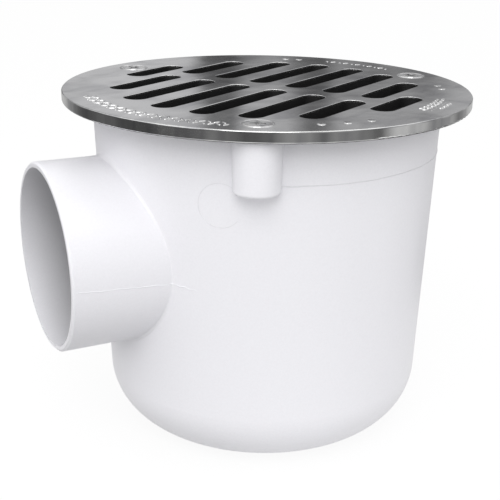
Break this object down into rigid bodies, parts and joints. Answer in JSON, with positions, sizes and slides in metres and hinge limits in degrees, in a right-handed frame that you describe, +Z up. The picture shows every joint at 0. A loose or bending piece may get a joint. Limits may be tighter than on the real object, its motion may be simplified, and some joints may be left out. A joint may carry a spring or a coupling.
{
  "type": "gully trap",
  "caption": "Round floor gully: white moulded pot with a side pipe outlet, a slotted metal grate screwed on top and a removable water-seal hood inside.",
  "frame": {"origin": "centre of the pot's flat base, on the pot's axis", "axes": "+Z up along the pot's axis towards the grate, -X along the outlet spigot's axis out of the pot"},
  "size_m": [0.265, 0.245, 0.2125],
  "materials": {
    "white_pvc": "glossy moulded white",
    "insert_brass": "turned",
    "hood_pvc": "satin moulded white",
    "seal_rubber": "matte black",
    "grate_metal": "cast, tumbled and polished",
    "screw_steel": "bright zinc"
  },
  "bodies": {
    "root": {"pot_body": "white_pvc", "boss_inserts": "insert_brass", "trap_hood": "hood_pvc", "hood_seal": "seal_rubber", "grate_plate": "grate_metal", "grate_screws": "screw_steel"}
  },
  "joints": []
}
